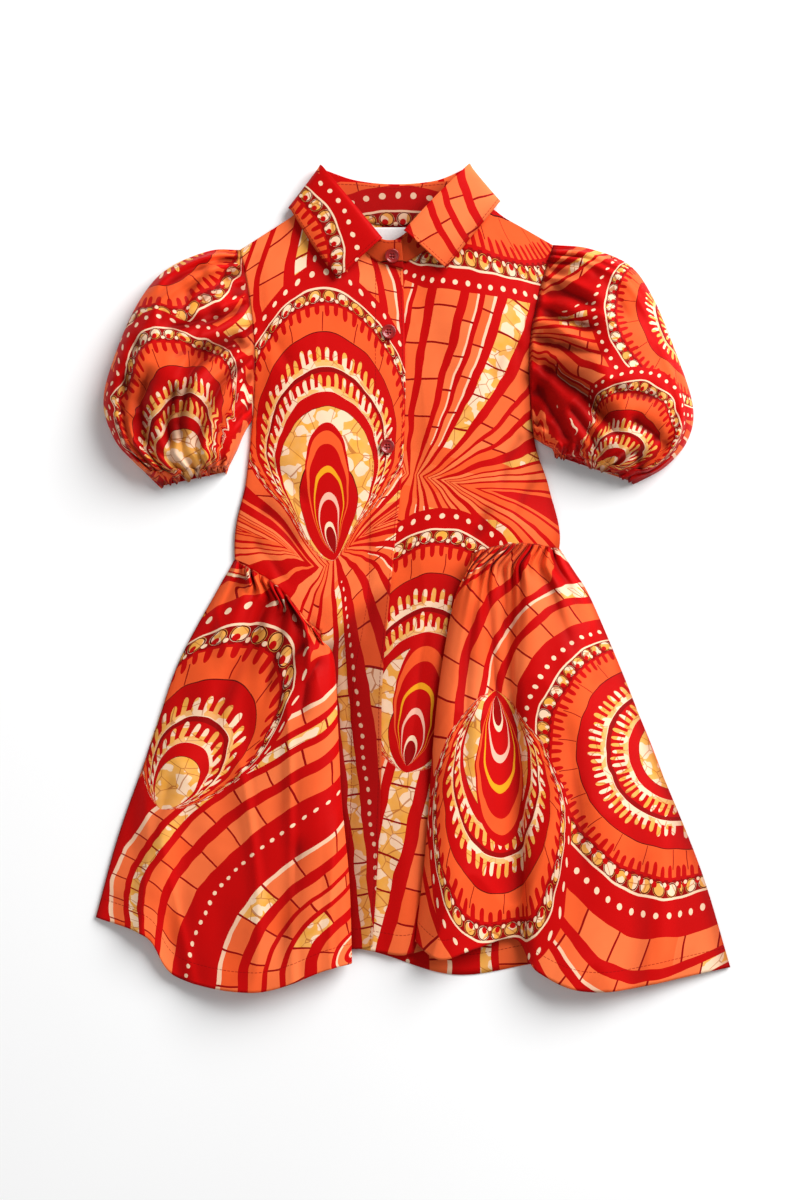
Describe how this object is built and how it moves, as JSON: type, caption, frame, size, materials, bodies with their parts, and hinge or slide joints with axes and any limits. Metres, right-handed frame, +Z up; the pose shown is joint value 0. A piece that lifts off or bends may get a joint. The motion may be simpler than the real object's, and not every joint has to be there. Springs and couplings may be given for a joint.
{
  "type": "child's dress",
  "caption": "Child's wax-print shirt dress laid flat, pointed collar, buttoned front, puffed short sleeves and full gathered skirt, for dressing and display.",
  "frame": {"origin": "on the table, under the middle of the dress's outline", "axes": "+Z up from the table, out of the dress's front; +Y from hem to collar; +X to the right of the picture, the wearer's left"},
  "size_m": [0.507, 0.6594, 0.0475],
  "materials": {
    "wax_print_cotton": "plain-weave cotton with a crisp, slightly waxed face, printed in reds, orange, yellow and off-white",
    "collar_cotton": "the same printed cotton, doubled and stiffened",
    "button_red": "polished dark red with a dished middle",
    "label_white": "bare smooth woven tape"
  },
  "bodies": {
    "root": {"back_bodice": "wax_print_cotton", "back_skirt": "wax_print_cotton", "front_left": "wax_print_cotton", "front_right": "wax_print_cotton", "skirt_side_left": "wax_print_cotton", "skirt_side_right": "wax_print_cotton", "sleeve_left_head": "wax_print_cotton", "sleeve_left_puff": "wax_print_cotton", "sleeve_left_hem": "wax_print_cotton", "sleeve_right_head": "wax_print_cotton", "sleeve_right_puff": "wax_print_cotton", "sleeve_right_hem": "wax_print_cotton", "collar": "collar_cotton", "collar_stand": "collar_cotton", "neck_label": "label_white", "button_1": "button_red", "button_2": "button_red", "button_3": "button_red"}
  },
  "joints": []
}
